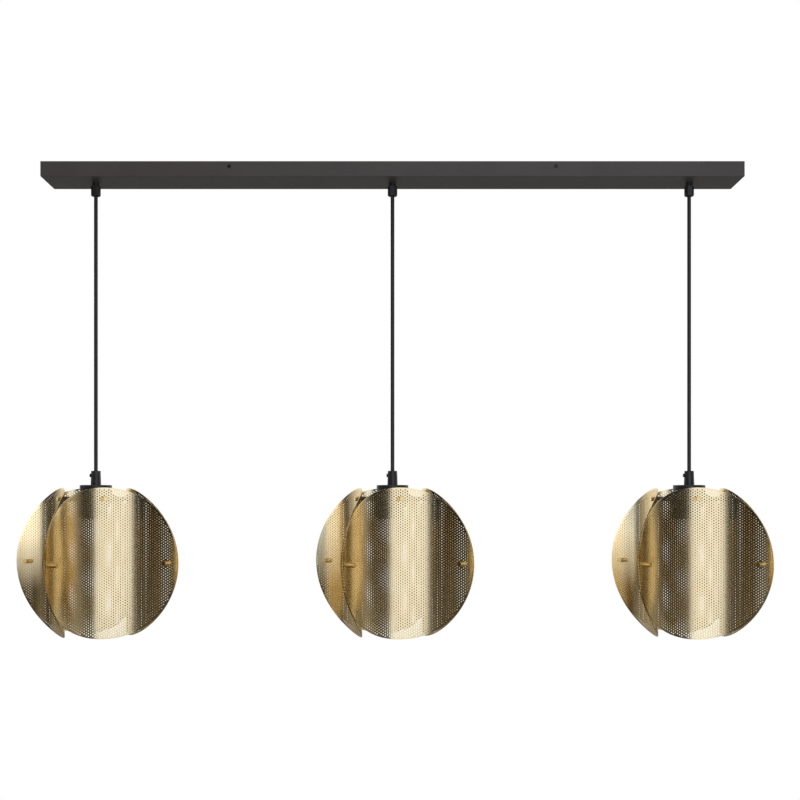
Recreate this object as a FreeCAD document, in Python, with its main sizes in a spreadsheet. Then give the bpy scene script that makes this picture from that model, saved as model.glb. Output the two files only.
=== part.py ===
"""Linear island pendant: a long ceiling canopy carries three cords, and each cord carries a globe-shaped
shade of four round perforated brass discs, bent so that their hollow sides face outwards.

Units are millimetres. The origin is the centre of the canopy's open top, which lies on the ceiling.
+X runs along the canopy, +Y points to the back and +Z points up, so everything hangs at negative Z.
"""

import FreeCAD, Part
import math
import os

import Sketcher

# Driving dimensions. Sizes named *_radius are radii, *_gap and *_clearance are free distances.
SIZES = {
    # Canopy: a folded steel channel, open towards the ceiling
    "canopy_length": 1164.0,
    "canopy_depth": 90.0,
    "canopy_height": 25.0,
    "canopy_wall": 1.5,
    "canopy_edge_radius": 1.0,
    # Ceiling brackets: a strap on the ceiling with two ears turned down inside the canopy
    "bracket_offset": 270.0,
    "bracket_width": 30.0,
    "bracket_wall": 2.0,
    "bracket_ear": 16.0,
    "bracket_clearance": 0.2,
    "slot_radius": 2.75,
    "slot_length": 14.0,
    "slot_spacing": 44.0,
    # Countersunk side screws that hold the canopy to the brackets
    "side_screw_drop": 8.4,
    "side_screw_radius": 1.7,
    "side_screw_head_radius": 3.2,
    "side_screw_length": 9.0,
    "side_screw_slot_width": 0.9,
    "side_screw_slot_depth": 0.6,
    "thread_clearance": 0.05,
    # Cable glands and their nuts
    "pendant_spacing": 500.0,
    "gland_thread_radius": 5.0,
    "gland_thread_height": 5.5,
    "gland_neck_radius": 6.0,
    "gland_neck_height": 4.5,
    "gland_radius": 8.15,
    "gland_shoulder": 1.6,
    "gland_height": 23.0,
    "gland_round": 2.6,
    "gland_flare": 2.6,
    "gland_flat_depth": 0.75,
    "gland_nut_circumradius": 9.8,
    "gland_nut_height": 3.5,
    "hole_clearance": 0.1,
    # Wiring inside the canopy
    "core_radius": 1.2,
    "core_ring_radius": 1.75,
    "core_height": 9.0,
    "core_spread": 20.0,
    "terminal_offset": 70.0,
    "terminal_length": 22.0,
    "terminal_depth": 60.0,
    "terminal_height": 16.0,
    "terminal_pitch": 9.0,
    "terminal_entry_radius": 1.6,
    "terminal_screw_radius": 2.0,
    "terminal_screw_inset": 5.0,
    "terminal_screw_depth": 5.0,
    "terminal_screw_length": 4.0,
    "terminal_screw_slot_width": 0.8,
    "terminal_screw_slot_depth": 1.0,
    "terminal_rib_width": 1.6,
    "terminal_rib_depth": 2.0,
    "earth_offset": 110.0,
    "earth_stud_radius": 2.0,
    "earth_stud_height": 12.0,
    "earth_washer_radius": 6.0,
    "earth_washer_height": 1.2,
    "earth_nut_circumradius": 4.0,
    "earth_nut_height": 3.2,
    # Cords
    "cord_radius": 3.25,
    "cord_length": 462.5,
    "cord_gap": 0.3,
    # Cord grip on top of each holder
    "grip_top_radius": 7.85,
    "grip_bottom_radius": 8.7,
    "grip_height": 24.0,
    "grip_edge_radius": 0.8,
    "grip_flare": 2.0,
    "grip_notch_width": 3.0,
    "grip_notch_depth": 2.4,
    "spigot_radius": 5.0,
    "spigot_length": 10.0,
    "spigot_bore_radius": 3.75,
    "grip_screw_drop": 7.6,
    "grip_screw_radius": 1.5,
    "grip_screw_head_radius": 3.0,
    "grip_screw_head_height": 1.8,
    "grip_screw_slot_width": 0.8,
    "grip_screw_slot_depth": 0.8,
    # Holder cap
    "cap_radius": 26.75,
    "cap_height": 17.0,
    "cap_wall": 1.5,
    "cap_edge_radius": 1.2,
    # Lampholder with its screw shell, for a 27 mm lamp cap
    "socket_radius": 13.3,
    "shell_wall": 0.5,
    "shell_height": 24.0,
    "shell_inset": 2.0,
    "shell_lip": 1.0,
    "contact_radius": 3.5,
    "contact_height": 4.0,
    "tongue_width": 4.0,
    "tongue_length": 16.0,
    "tongue_thickness": 0.6,
    "holder_radius": 20.0,
    "holder_length": 55.0,
    "holder_boss_radius": 11.0,
    "holder_boss_height": 3.5,
    "holder_dome_radius": 18.0,
    "holder_flange_height": 4.0,
    "holder_cavity_depth": 31.0,
    "holder_seat_gap": 0.3,
    # Shade ring
    "ring_radius": 27.0,
    "ring_skirt_radius": 24.0,
    "ring_height": 9.0,
    "ring_flange_height": 3.0,
    "ring_grip_radius": 2.2,
    "ring_grip_count": 12.0,
    # Spider that carries the discs
    "hub_height": 8.0,
    "hub_wall": 4.6,
    "hub_drop": 1.8,
    "turning_gap": 0.3,
    "arm_radius": 3.6,
    "arm_end_gap": 0.1,
    "arm_thread_depth": 12.0,
    # Shade discs
    "disc_radius": 125.0,
    "disc_bend_radius": 132.0,
    "disc_thickness": 0.8,
    "disc_gap": 0.8,
    "disc_hole_radius": 2.1,
    "globe_drop": 106.6,
    "shade_turn": 13.8,
    "shade_turn_step": 12.6,
    # Brass fasteners of the discs
    "stud_radius": 4.0,
    "stud_length": 8.5,
    "stud_edge_radius": 0.5,
    "stud_shank_radius": 1.95,
    "stud_seat_gap": 0.1,
    "stud_nut_depth": 6.5,
    "stud_end_gap": 0.5,
    "spacer_slack": 0.04,
}

SIDES = {"left": -1, "centre": 0, "right": 1}
DISC_PLACES = ("front", "right", "back", "left")
QUARTER_TURN = 90.0
HALF_QUARTER = 45.0
CORE_COUNT = 3
# The pole that each cord's first core takes, counted in pitches from the terminal block's middle
FIRST_POLE = {"left": -2.5, "centre": 0.5, "right": 0.5}
# The share of the shorter run beside a tube's corner that its bend takes
BEND_SHARE = 0.45
SAME_SIZE = 1e-4
ORIGIN = FreeCAD.Vector(0, 0, 0)
UP = FreeCAD.Vector(0, 0, 1)
ALONG = FreeCAD.Vector(1, 0, 0)
BACKWARDS = FreeCAD.Vector(0, 1, 0)


def number(words):
    """Works out a size given in words, such as 'canopy_length / 2 - canopy_wall', term by term."""
    total = 0.0
    term = 0.0
    sign = "+"
    for word in words.split():
        if word in "+-*/":
            sign = word
            continue
        value = SIZES[word] if word in SIZES else float(word)
        if sign in "+-":
            total += term
            term = value if sign == "+" else -value
        elif sign == "*":
            term *= value
        else:
            term /= value
    return total + term


def formula(words):
    """Turns a size given in words into the expression that reads it from the sheet."""
    return " ".join("Sizes." + word if word in SIZES else word for word in words.split())


def add_derived_sizes():
    """Adds the sizes that several pieces share and that follow from the driving ones."""
    size = SIZES
    size["cord_bore_radius"] = number("cord_radius + cord_gap")
    size["pivot_top"] = number("- canopy_height - gland_height")
    size["pivot_bottom"] = number("pivot_top - cord_length")
    size["cap_top"] = number("pivot_bottom - grip_height")
    size["mouth_radius"] = number("cord_radius + 3 * cord_gap")
    size["holder_top"] = number("cap_top - cap_wall - holder_seat_gap")
    size["holder_bottom"] = number("holder_top - holder_length")
    size["flange_bottom"] = number("cap_top - cap_height - hub_drop")
    size["hub_top"] = number("flange_bottom - turning_gap")
    size["hub_bottom"] = number("hub_top - hub_height")
    size["hub_bore_radius"] = number("holder_radius + turning_gap")
    size["hub_radius"] = number("hub_bore_radius + hub_wall")
    size["arm_level"] = number("hub_top - hub_height / 2")
    size["ring_top"] = number("hub_bottom - turning_gap")
    size["globe_level"] = number("arm_level - globe_drop")
    middle_gap = number("disc_thickness + disc_gap")
    slant = math.cos(math.radians(HALF_QUARTER))
    # Two neighbours bent to the same radius run parallel, middle_gap apart, where each has turned 45 degrees.
    size["disc_distance"] = (2 * size["disc_bend_radius"] + middle_gap) * slant - size["disc_bend_radius"]
    size["corner_distance"] = number("disc_distance + disc_bend_radius") / (2 * slant)
    size["arm_end"] = number("disc_distance - disc_thickness / 2 - arm_end_gap")


add_derived_sizes()

document = FreeCAD.newDocument("linear_island_pendant")
sheet = document.addObject("Spreadsheet::Sheet", "Sizes")
for row, (alias, value) in enumerate(SIZES.items(), start=1):
    sheet.set("A%d" % row, alias)
    sheet.set("B%d" % row, repr(value))
    sheet.setAlias("B%d" % row, alias)
document.recompute()

nodes = {}


def keep(label, piece):
    """Names an object after its node and lists it for the export."""
    piece.Label = label
    nodes[label] = piece
    return piece


def bind(piece, **words):
    """Ties properties of a document object to sizes; a double underscore in a name stands for a dot."""
    for name, size in words.items():
        piece.setExpression(name.replace("__", "."), formula(size))


def role(body, name):
    """The body's own origin plane or axis of that role."""
    return next(feature for feature in body.Origin.OriginFeatures if feature.Role == name)


def new_sketch(body, plane, offset=None):
    """A sketch on one of the body's origin planes, moved along its normal by offset."""
    sketch = body.newObject("Sketcher::SketchObject", "Sketch")
    sketch.AttachmentSupport = [(role(body, plane), "")]
    sketch.MapMode = "FlatFace"
    if offset:
        bind(sketch, AttachmentOffset__Base__z=offset)
    return sketch


def tie_point(sketch, geometry, point, across, up):
    """Fixes a sketch point at the sizes across and up, measured from the sketch's origin."""
    for kind, axis, words in (("DistanceX", -2, across), ("DistanceY", -1, up)):
        if words == "0":
            sketch.addConstraint(Sketcher.Constraint("PointOnObject", geometry, point, axis))
            continue
        index = sketch.addConstraint(Sketcher.Constraint(kind, -1, 1, geometry, point, number(words)))
        sketch.setExpression("Constraints[%d]" % index, formula(words))


def draw_polygon(sketch, corners):
    """Draws a closed outline; each corner is a pair of sizes in words."""
    first = sketch.GeometryCount
    places = [FreeCAD.Vector(number(across), number(up), 0) for across, up in corners]
    for here, there in zip(places, places[1:] + places[:1]):
        sketch.addGeometry(Part.LineSegment(here, there), False)
    for index, (across, up) in enumerate(corners):
        following = first + (index + 1) % len(corners)
        sketch.addConstraint(Sketcher.Constraint("Coincident", first + index, 2, following, 1))
        tie_point(sketch, first + index, 1, across, up)


def draw_rectangle(sketch, low, high):
    """Draws a rectangle between two corners."""
    draw_polygon(sketch, [low, (high[0], low[1]), high, (low[0], high[1])])


def draw_circles(sketch, places, radius):
    """Draws circles of one radius at the given pairs of sizes."""
    for across, up in places:
        centre = FreeCAD.Vector(number(across), number(up), 0)
        index = sketch.addGeometry(Part.Circle(centre, UP, number(radius)), False)
        held = sketch.addConstraint(Sketcher.Constraint("Radius", index, number(radius)))
        sketch.setExpression("Constraints[%d]" % held, formula(radius))
        tie_point(sketch, index, 3, across, up)


def new_body(label, keep_it=True, **place):
    """A part-design body, placed by sizes such as Placement__Base__x."""
    body = document.addObject("PartDesign::Body", label)
    bind(body, **place)
    return keep(label, body) if keep_it else body


def pad(body, sketch, length, symmetric=False, reverse=False):
    """Adds the sketch's outline to the body."""
    feature = body.newObject("PartDesign::Pad", "Pad")
    feature.Profile = sketch
    feature.SideType = "Symmetric" if symmetric else "One side"
    feature.Reversed = reverse
    bind(feature, Length=length)
    document.recompute()
    return feature


def pocket(body, sketch, length=None, reverse=False):
    """Cuts the sketch's outline out of the body, through all of it both ways where no length is given."""
    before = body.Shape.Volume
    feature = body.newObject("PartDesign::Pocket", "Pocket")
    feature.Profile = sketch
    feature.Reversed = reverse
    if length:
        bind(feature, Length=length)
    else:
        feature.Type = "ThroughAll"
        feature.SideType = "Symmetric"
    document.recompute()
    if body.Shape.Volume > before - SAME_SIZE:
        raise RuntimeError("a pocket in %s cuts nothing" % body.Label)
    return feature


def revolve(body, corners):
    """Turns an outline of (radius, height) corners about the body's own Z axis."""
    sketch = new_sketch(body, "XZ_Plane")
    draw_polygon(sketch, corners)
    feature = body.newObject("PartDesign::Revolution", "Revolution")
    feature.Profile = sketch
    feature.ReferenceAxis = (sketch, ["V_Axis"])
    document.recompute()
    return feature


def round_rims(body, rims, radius):
    """Rounds the body's circular edges that have the given (radius, height), in sizes."""
    base = body.Tip
    chosen = []
    for index, edge in enumerate(base.Shape.Edges, start=1):
        if not isinstance(edge.Curve, Part.Circle):
            continue
        for rim_radius, height in rims:
            same_radius = abs(edge.Curve.Radius - number(rim_radius)) < SAME_SIZE
            if same_radius and abs(edge.Curve.Center.z - number(height)) < SAME_SIZE:
                chosen.append("Edge%d" % index)
    feature = body.newObject("PartDesign::Fillet", "Fillet")
    feature.Base = (base, chosen)
    bind(feature, Radius=radius)
    document.recompute()
    return feature


def placed(shape, place):
    """A copy of a shape at another place."""
    copy = shape.copy()
    copy.Placement = place.multiply(copy.Placement)
    return copy


def group(label, shapes):
    """Several separate solids that share one node."""
    piece = document.addObject("Part::Feature", label)
    piece.Shape = Part.makeCompound(shapes)
    return keep(label, piece)


def turned(axis, degrees, place=ORIGIN):
    """A placement that turns about an axis and then moves."""
    return FreeCAD.Placement(place, FreeCAD.Rotation(axis, degrees))


def moved(place):
    """A placement that only moves."""
    return FreeCAD.Placement(place, FreeCAD.Rotation())


# ---------------------------------------------------------------------------------------------- canopy


def canopy_shell():
    """The channel, with gland holes in its floor and countersunk screw holes in its sides."""
    body = new_body("canopy_shell")
    outline = new_sketch(body, "XY_Plane")
    low = ("- canopy_length / 2", "- canopy_depth / 2")
    draw_rectangle(outline, low, ("canopy_length / 2", "canopy_depth / 2"))
    block = pad(body, outline, "canopy_height", reverse=True)
    lower_edges = []
    for index, edge in enumerate(block.Shape.Edges, start=1):
        box = edge.BoundBox
        if box.ZMin < -SIZES["canopy_height"] / 2:
            lower_edges.append("Edge%d" % index)
    fold = body.newObject("PartDesign::Fillet", "Fillet")
    fold.Base = (block, lower_edges)
    bind(fold, Radius="canopy_edge_radius")
    document.recompute()
    cavity = new_sketch(body, "XY_Plane")
    low = ("canopy_wall - canopy_length / 2", "canopy_wall - canopy_depth / 2")
    high = ("canopy_length / 2 - canopy_wall", "canopy_depth / 2 - canopy_wall")
    draw_rectangle(cavity, low, high)
    pocket(body, cavity, "canopy_height - canopy_wall")
    gland_holes = new_sketch(body, "XY_Plane")
    places = [("- pendant_spacing", "0"), ("0", "0"), ("pendant_spacing", "0")]
    draw_circles(gland_holes, places, "gland_thread_radius + hole_clearance")
    pocket(body, gland_holes)
    front_holes = new_sketch(body, "XZ_Plane", offset="canopy_depth / 2")
    places = [("- bracket_offset", "- side_screw_drop"), ("bracket_offset", "- side_screw_drop")]
    draw_circles(front_holes, places, "side_screw_radius + hole_clearance")
    document.recompute()
    drilled = body.newObject("PartDesign::Hole", "Hole")
    drilled.Profile = front_holes
    document.recompute()
    drilled.Threaded = False
    drilled.DepthType = "Dimension"
    drilled.DrillPoint = "Flat"
    drilled.HoleCutType = "Countersink"
    drilled.HoleCutCountersinkAngle = 90.0
    bind(
        drilled,
        Diameter="side_screw_radius * 2 + hole_clearance * 2",
        Depth="canopy_wall * 2",
        HoleCutDiameter="side_screw_head_radius * 2 + hole_clearance * 2",
    )
    document.recompute()
    behind = body.newObject("PartDesign::Mirrored", "Mirrored")
    behind.Originals = [drilled]
    behind.MirrorPlane = (role(body, "XZ_Plane"), [""])
    body.Tip = behind
    document.recompute()


def ceiling_bracket(side):
    """A strap on the ceiling, slotted for the ceiling screws, with tapped ears for the side screws."""
    place = "bracket_offset" if SIDES[side] > 0 else "- bracket_offset"
    body = new_body("%s_bracket" % side, Placement__Base__x=place)
    section = new_sketch(body, "YZ_Plane")
    reach = "canopy_depth / 2 - canopy_wall - bracket_clearance"
    corners = [
        ("- canopy_depth / 2 + canopy_wall + bracket_clearance", "0"),
        (reach, "0"),
        (reach, "- bracket_ear"),
        (reach + " - bracket_wall", "- bracket_ear"),
        (reach + " - bracket_wall", "- bracket_wall"),
        ("- canopy_depth / 2 + canopy_wall + bracket_clearance + bracket_wall", "- bracket_wall"),
        ("- canopy_depth / 2 + canopy_wall + bracket_clearance + bracket_wall", "- bracket_ear"),
        ("- canopy_depth / 2 + canopy_wall + bracket_clearance", "- bracket_ear"),
    ]
    draw_polygon(section, corners)
    pad(body, section, "bracket_width", symmetric=True)
    slots = new_sketch(body, "XY_Plane")
    for middle in ("slot_spacing / 2", "- slot_spacing / 2"):
        low = ("slot_radius - slot_length / 2", middle + " - slot_radius")
        high = ("slot_length / 2 - slot_radius", middle + " + slot_radius")
        draw_rectangle(slots, low, high)
    pocket(body, slots, "bracket_wall")
    slot_ends = new_sketch(body, "XY_Plane")
    ends = ("slot_radius - slot_length / 2", "slot_length / 2 - slot_radius")
    rows = ("slot_spacing / 2", "- slot_spacing / 2")
    draw_circles(slot_ends, [(end, middle) for end in ends for middle in rows], "slot_radius")
    pocket(body, slot_ends, "bracket_wall")
    tapped = new_sketch(body, "XZ_Plane")
    draw_circles(tapped, [("0", "- side_screw_drop")], "side_screw_radius + thread_clearance")
    pocket(body, tapped)


def slotted_screw(name, corners, slot_width, slot_depth, head_radius):
    """A screw standing on its Z axis with its head's top at zero, and a straight slot across the head."""
    body = new_body(name, keep_it=False)
    revolve(body, corners)
    slot = new_sketch(body, "XY_Plane")
    low = ("- " + head_radius, "- " + slot_width + " / 2")
    draw_rectangle(slot, low, (head_radius, slot_width + " / 2"))
    pocket(body, slot, slot_depth)
    return body.Shape


def canopy_screws():
    """Four countersunk screws, flush with the canopy's front and back."""
    cone = "side_screw_radius - side_screw_head_radius"
    screw = slotted_screw(
        "side_screw",
        [
            ("0", "- side_screw_length"),
            ("side_screw_radius", "- side_screw_length"),
            ("side_screw_radius", cone),
            ("side_screw_head_radius", "0"),
            ("0", "0"),
        ],
        "side_screw_slot_width",
        "side_screw_slot_depth",
        "side_screw_head_radius",
    )
    shapes = []
    for x in (-SIZES["bracket_offset"], SIZES["bracket_offset"]):
        for y, tilt in ((-SIZES["canopy_depth"] / 2, 90), (SIZES["canopy_depth"] / 2, -90)):
            place = FreeCAD.Vector(x, y, -SIZES["side_screw_drop"])
            shapes.append(placed(screw, turned(ALONG, tilt, place)))
    group("canopy_screws", shapes)


def gland(side):
    """A plastic cable gland: thread and nut above the floor, slim neck and wider grip below it."""
    body = new_body("%s_gland" % side, Placement__Base__x="pendant_spacing * %d" % SIDES[side])
    floor = "- canopy_height"
    shoulder = "- canopy_height - gland_neck_height"
    corners = [
        ("cord_bore_radius", "gland_thread_height + canopy_wall - canopy_height"),
        ("gland_thread_radius", "gland_thread_height + canopy_wall - canopy_height"),
        ("gland_thread_radius", floor),
        ("gland_neck_radius", floor),
        ("gland_neck_radius", shoulder),
        ("gland_radius", shoulder + " - gland_shoulder"),
        ("gland_radius", "pivot_top"),
        ("mouth_radius", "pivot_top"),
        ("cord_bore_radius", "pivot_top + gland_flare"),
    ]
    revolve(body, corners)
    round_rims(body, [("gland_radius", "pivot_top")], "gland_round")
    flats = new_sketch(body, "XY_Plane", offset="pivot_top")
    for sign in ("", "- "):
        inner = sign + "gland_radius " + ("-" if sign == "" else "+") + " gland_flat_depth"
        outer = sign + "gland_radius * 2"
        draw_rectangle(flats, ("- gland_radius", inner), ("gland_radius", outer))
    pocket(body, flats, "gland_height - gland_neck_height", reverse=True)


def hexagon_nut(name, circumradius, height, bore):
    """A hexagonal nut standing on its Z axis from zero up."""
    prism = document.addObject("Part::Prism", name + "_hexagon")
    prism.Polygon = 6
    bind(prism, Circumradius=circumradius, Height=height)
    hole = document.addObject("Part::Cylinder", name + "_bore")
    bind(hole, Radius=bore, Height=height)
    nut = document.addObject("Part::Cut", name)
    nut.Base = prism
    nut.Tool = hole
    document.recompute()
    return nut.Shape


def gland_nuts():
    """The nuts that clamp the glands to the canopy's floor."""
    bore = "gland_thread_radius + thread_clearance"
    nut = hexagon_nut("gland_nut", "gland_nut_circumradius", "gland_nut_height", bore)
    floor = number("canopy_wall - canopy_height")
    places = [FreeCAD.Vector(SIZES["pendant_spacing"] * side, 0, floor) for side in SIDES.values()]
    group("gland_nuts", [placed(nut, moved(place)) for place in places])


def rounded_tube(points, radius):
    """A tube along straight runs joined by tangent arcs, each as large as its two runs allow."""
    start = points[0]
    edges = []
    runs_and_arcs = 0.0
    bends = []
    for before, corner, after in zip(points, points[1:], points[2:]):
        inward = (corner - before).normalize()
        outward = (after - corner).normalize()
        turn = inward.getAngle(outward)
        shorter = min((corner - before).Length, (after - corner).Length)
        setback = BEND_SHARE * shorter
        bend = setback / math.tan(turn / 2)
        arc_start = corner - inward * setback
        arc_end = corner + outward * setback
        to_centre = (outward - inward).normalize()
        middle = corner + to_centre * (bend / math.cos(turn / 2) - bend)
        edges.append(Part.LineSegment(start, arc_start).toShape())
        edges.append(Part.Arc(arc_start, middle, arc_end).toShape())
        runs_and_arcs += (arc_start - start).Length + bend * turn
        bends.append(bend)
        start = arc_end
    edges.append(Part.LineSegment(start, points[-1]).toShape())
    runs_and_arcs += (points[-1] - start).Length
    path = Part.Wire(edges)
    section = Part.Wire(Part.Circle(points[0], points[1] - points[0], radius).toShape())
    tube = path.makePipeShell([section], True, False)
    expected = math.pi * radius * radius * runs_and_arcs
    return tube, expected, bends


def leads(side):
    """The cord's end inside the gland and its three cores, each run to a pole of the terminal block."""
    size = SIZES
    x = size["pendant_spacing"] * SIDES[side]
    stub_top = number("gland_thread_height + canopy_wall - canopy_height + cord_gap")
    stub_bottom = number("pivot_top + cord_radius + cord_gap")
    stub = Part.makeCylinder(size["cord_radius"], stub_top - stub_bottom, FreeCAD.Vector(x, 0, stub_bottom))
    shapes = [stub]
    facing = 1 if SIDES[side] > 0 else -1
    block_face = size["terminal_offset"] + facing * size["terminal_length"] / 2
    run_level = -size["core_height"]
    for core in range(CORE_COUNT):
        angle = math.pi - 2 * math.pi * core / CORE_COUNT
        start = FreeCAD.Vector(
            x + size["core_ring_radius"] * math.cos(angle),
            size["core_ring_radius"] * math.sin(angle),
            stub_top,
        )
        pole = (FIRST_POLE[side] + core) * size["terminal_pitch"]
        along = math.copysign(1, block_face - x)
        above = FreeCAD.Vector(start.x, start.y, run_level)
        spread = FreeCAD.Vector(x + along * size["core_spread"], pole, run_level)
        end = FreeCAD.Vector(block_face, pole, run_level)
        tube, expected, bends = rounded_tube([start, above, spread, end], size["core_radius"])
        print("%s core %d: bends %s mm, volume %.4f of expected" % (
            side, core, ["%.1f" % bend for bend in bends], tube.Volume / expected))
        shapes.append(tube)
    group("%s_leads" % side, shapes)


def terminal_block():
    """A six-pole terminal block on the canopy's floor, with wire entries along X and screws on top."""
    body = new_body(
        "terminal_block", Placement__Base__x="terminal_offset", Placement__Base__z="canopy_wall - canopy_height"
    )
    outline = new_sketch(body, "XY_Plane")
    low = ("- terminal_length / 2", "- terminal_depth / 2")
    draw_rectangle(outline, low, ("terminal_length / 2", "terminal_depth / 2"))
    pad(body, outline, "terminal_height")
    grooves = new_sketch(body, "XY_Plane", offset="terminal_height")
    for middle in ("- terminal_pitch * 2", "- terminal_pitch", "0", "terminal_pitch", "terminal_pitch * 2"):
        low = ("- terminal_length", middle + " - terminal_rib_width / 2")
        draw_rectangle(grooves, low, ("terminal_length", middle + " + terminal_rib_width / 2"))
    pocket(body, grooves, "terminal_rib_depth")
    screws = new_sketch(body, "XY_Plane", offset="terminal_height")
    draw_circles(screws, terminal_screw_places(), "terminal_screw_radius")
    pocket(body, screws, "terminal_screw_depth")


def terminal_screw_places():
    """Where the block's screws stand: two rows of six, a screw at each end of each pole."""
    poles = ["terminal_pitch / 2", "terminal_pitch * 3 / 2", "terminal_pitch * 5 / 2"]
    poles += ["- " + pole for pole in poles]
    rows = ("terminal_length / 2 - terminal_screw_inset", "terminal_screw_inset - terminal_length / 2")
    return [(row, pole) for row in rows for pole in poles]


def terminal_screws():
    """The twelve clamping screws, standing on the floors of their holes."""
    screw = slotted_screw(
        "clamping_screw",
        [
            ("0", "- terminal_screw_length"),
            ("terminal_screw_radius - thread_clearance", "- terminal_screw_length"),
            ("terminal_screw_radius - thread_clearance", "0"),
            ("0", "0"),
        ],
        "terminal_screw_slot_width",
        "terminal_screw_slot_depth",
        "terminal_screw_radius",
    )
    top = number("canopy_wall - canopy_height + terminal_height - terminal_screw_depth + terminal_screw_length")
    shapes = []
    for across, along in terminal_screw_places():
        place = FreeCAD.Vector(number("terminal_offset + " + across), number(along), top)
        shapes.append(placed(screw, moved(place)))
    group("terminal_screws", shapes)


def earth_terminal():
    """An earth stud with its washer and nut on the canopy's floor."""
    body = new_body("earth_stud", keep_it=False)
    revolve(
        body,
        [
            ("0", "0"),
            ("earth_washer_radius", "0"),
            ("earth_washer_radius", "earth_washer_height"),
            ("earth_stud_radius", "earth_washer_height"),
            ("earth_stud_radius", "earth_stud_height"),
            ("0", "earth_stud_height"),
        ],
    )
    bore = "earth_stud_radius + thread_clearance"
    nut = hexagon_nut("earth_nut", "earth_nut_circumradius", "earth_nut_height", bore)
    base = FreeCAD.Vector(SIZES["earth_offset"], 0, number("canopy_wall - canopy_height"))
    seat = base + UP * SIZES["earth_washer_height"]
    group("earth_terminal", [placed(body.Shape, moved(base)), placed(nut, moved(seat))])


# ---------------------------------------------------------------------------------------------- pendants


def hanging_cord(side):
    """The straight cord between gland and grip, with round ends that pivot in their mouths."""
    x = "pendant_spacing * %d" % SIDES[side]
    run = document.addObject("Part::Cylinder", "cord_run")
    bind(run, Radius="cord_radius", Height="cord_length", Placement__Base__x=x, Placement__Base__z="pivot_bottom")
    ends = []
    for level in ("pivot_bottom", "pivot_top"):
        end = document.addObject("Part::Sphere", "cord_end")
        bind(end, Radius="cord_radius", Placement__Base__x=x, Placement__Base__z=level)
        ends.append(end)
    cord = document.addObject("Part::MultiFuse", "cord")
    cord.Shapes = [run, *ends]
    keep("%s_cord" % side, cord)


def cord_grip(side):
    """The tapered grip that clamps the cord, with a threaded spigot that holds cap and lampholder."""
    body = new_body("%s_cord_grip" % side, Placement__Base__x="pendant_spacing * %d" % SIDES[side])
    chamber = "pivot_bottom - cord_radius - cord_gap"
    revolve(
        body,
        [
            ("mouth_radius", "pivot_bottom"),
            ("grip_top_radius", "pivot_bottom"),
            ("grip_bottom_radius", "cap_top"),
            ("spigot_radius", "cap_top"),
            ("spigot_radius", "cap_top - spigot_length"),
            ("spigot_bore_radius", "cap_top - spigot_length"),
            ("spigot_bore_radius", chamber),
            ("cord_bore_radius", chamber),
            ("cord_bore_radius", "pivot_bottom - grip_flare"),
        ],
    )
    round_rims(body, [("grip_top_radius", "pivot_bottom")], "grip_edge_radius")
    screw_hole = new_sketch(body, "YZ_Plane")
    draw_circles(screw_hole, [("0", "pivot_bottom - grip_screw_drop")], "grip_screw_radius + thread_clearance")
    pocket(body, screw_hole, "grip_bottom_radius * 2")
    notch = new_sketch(body, "YZ_Plane")
    low = ("- grip_notch_width / 2", "pivot_bottom - grip_notch_depth")
    draw_rectangle(notch, low, ("grip_notch_width / 2", "pivot_bottom + grip_notch_depth"))
    pocket(body, notch, "grip_bottom_radius * 2", reverse=True)


def grip_screw(side):
    """The set screw that bears on the cord, entering the grip from its left."""
    screw = slotted_screw(
        "%s_set_screw" % side,
        [
            ("0", "spigot_bore_radius - grip_bottom_radius - grip_screw_head_height"),
            ("grip_screw_radius", "spigot_bore_radius - grip_bottom_radius - grip_screw_head_height"),
            ("grip_screw_radius", "- grip_screw_head_height"),
            ("grip_screw_head_radius", "- grip_screw_head_height"),
            ("grip_screw_head_radius", "0"),
            ("0", "0"),
        ],
        "grip_screw_slot_width",
        "grip_screw_slot_depth",
        "grip_screw_head_radius",
    )
    taper = number("grip_bottom_radius - grip_top_radius") / SIZES["grip_height"]
    grip_radius = SIZES["grip_top_radius"] + taper * number("grip_screw_drop + grip_screw_head_radius")
    seat = grip_radius + number("grip_screw_head_height + stud_seat_gap")
    x = SIZES["pendant_spacing"] * SIDES[side] - seat
    place = FreeCAD.Vector(x, 0, number("pivot_bottom - grip_screw_drop"))
    group("%s_grip_screw" % side, [placed(screw, turned(BACKWARDS, -90, place))])


def holder_cap(side):
    """The cup over the lampholder's top, held by the grip's spigot."""
    body = new_body("%s_holder_cap" % side, Placement__Base__x="pendant_spacing * %d" % SIDES[side])
    revolve(
        body,
        [
            ("spigot_radius + hole_clearance", "cap_top"),
            ("cap_radius", "cap_top"),
            ("cap_radius", "cap_top - cap_height"),
            ("cap_radius - cap_wall", "cap_top - cap_height"),
            ("cap_radius - cap_wall", "cap_top - cap_wall"),
            ("spigot_radius + hole_clearance", "cap_top - cap_wall"),
        ],
    )
    round_rims(body, [("cap_radius", "cap_top")], "cap_edge_radius")


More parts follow.
